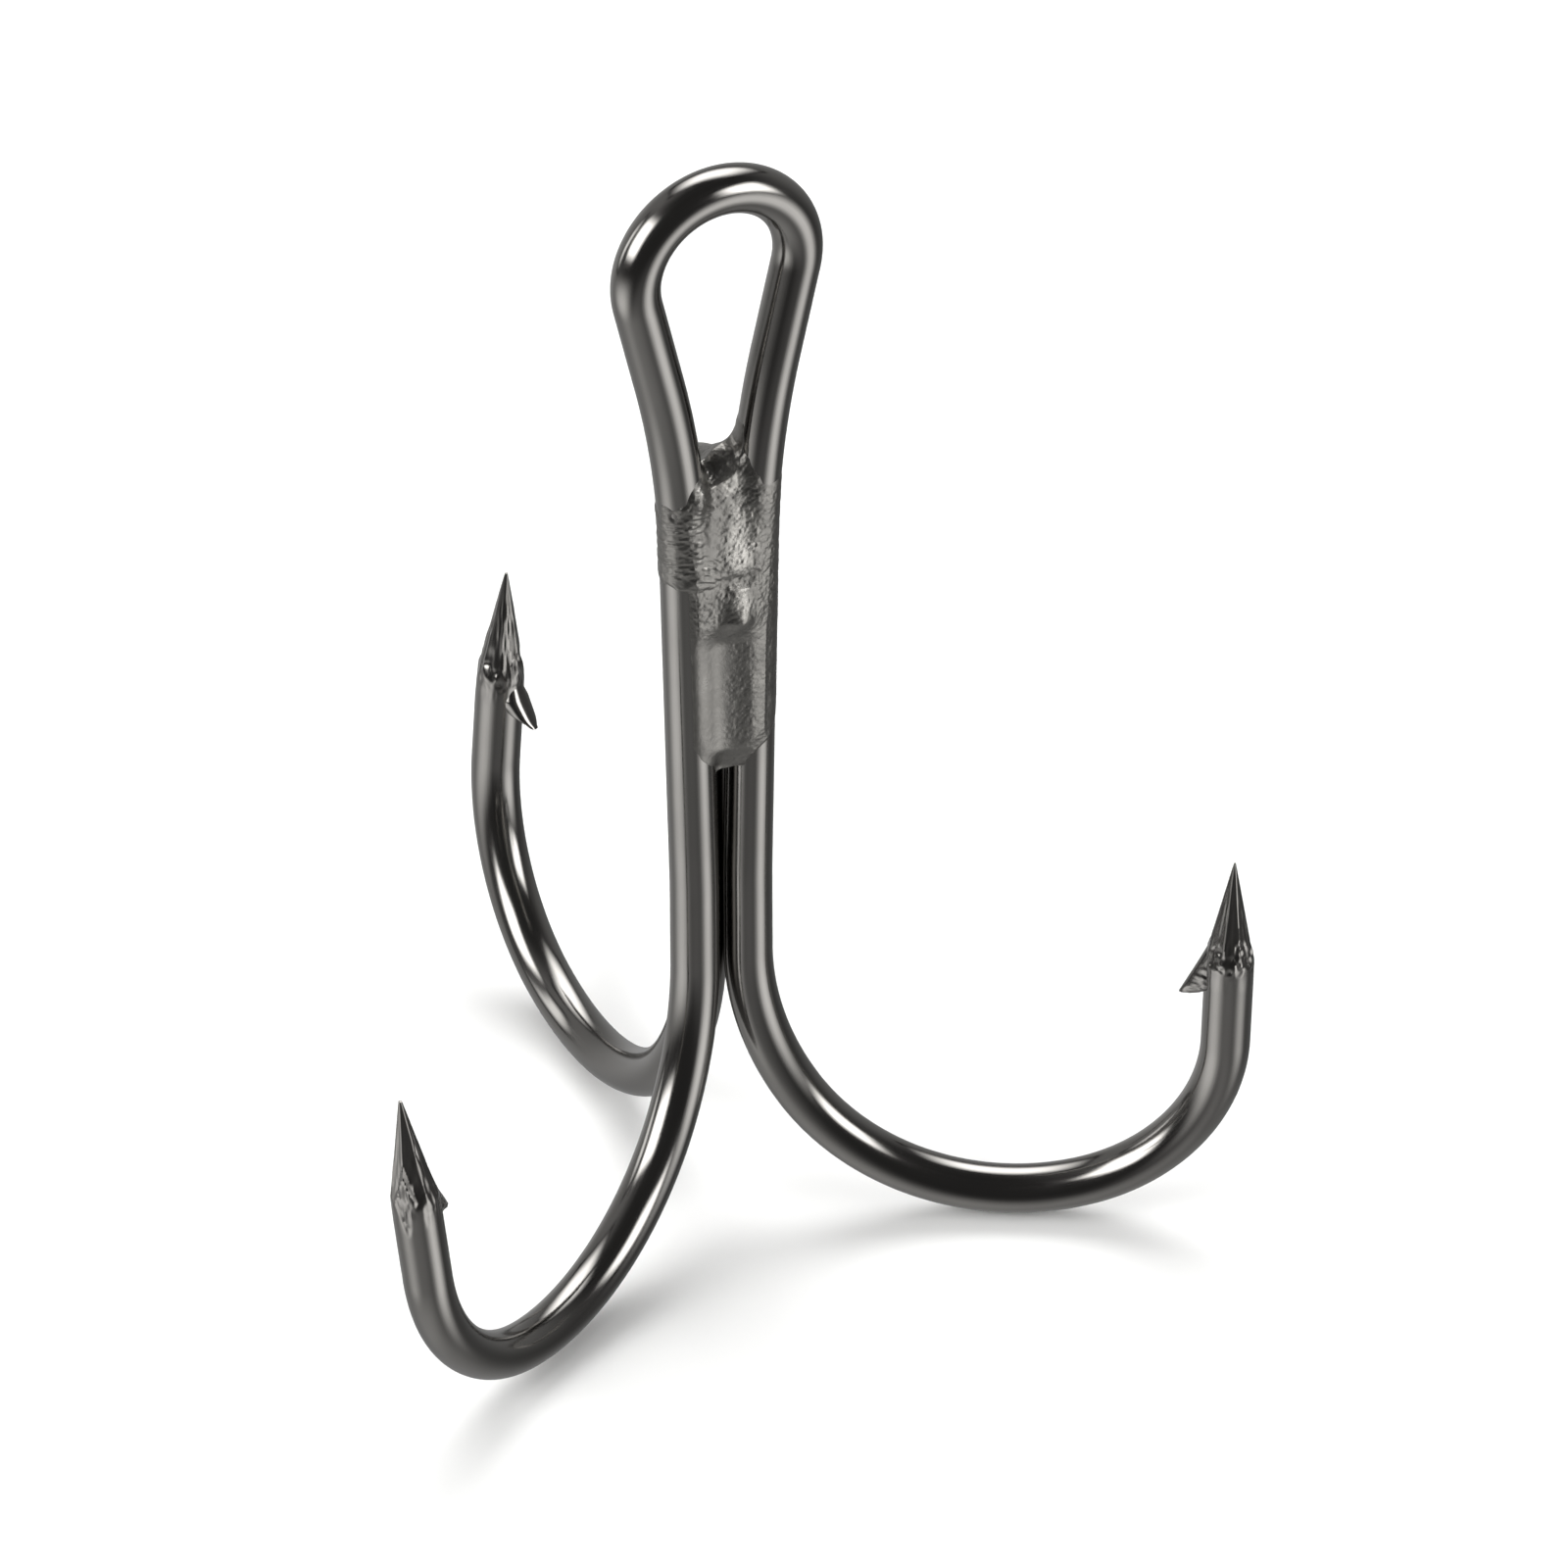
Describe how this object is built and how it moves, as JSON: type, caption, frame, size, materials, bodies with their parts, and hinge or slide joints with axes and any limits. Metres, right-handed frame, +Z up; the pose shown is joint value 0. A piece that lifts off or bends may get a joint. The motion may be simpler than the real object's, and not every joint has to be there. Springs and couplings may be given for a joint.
{
  "type": "treble hook",
  "caption": "Brazed treble fishing hook: a double hook with a teardrop eye bent from one wire, a single hook laid behind its shanks, and the filler that joins them.",
  "frame": {"origin": "centre of the eye's crown, where a split ring or line bears, in the plane of the eye", "axes": "+Z up along the shank through the eye, +Y through the eye from the side of the two legs to the side of the rear shank, the eye lies in the XZ plane"},
  "size_m": [0.0302, 0.0266, 0.0403],
  "materials": {
    "hook_plate": "black nickel plate over carbon steel wire, polished",
    "filler": "brazing filler under the same plate, satin and finely wrinkled"
  },
  "bodies": {
    "root": {"double_hook_wire": "hook_plate", "single_hook_wire": "hook_plate", "braze_front_bead": "filler", "braze_left_bead": "filler", "braze_right_bead": "filler", "braze_saddle": "filler"}
  },
  "joints": []
}
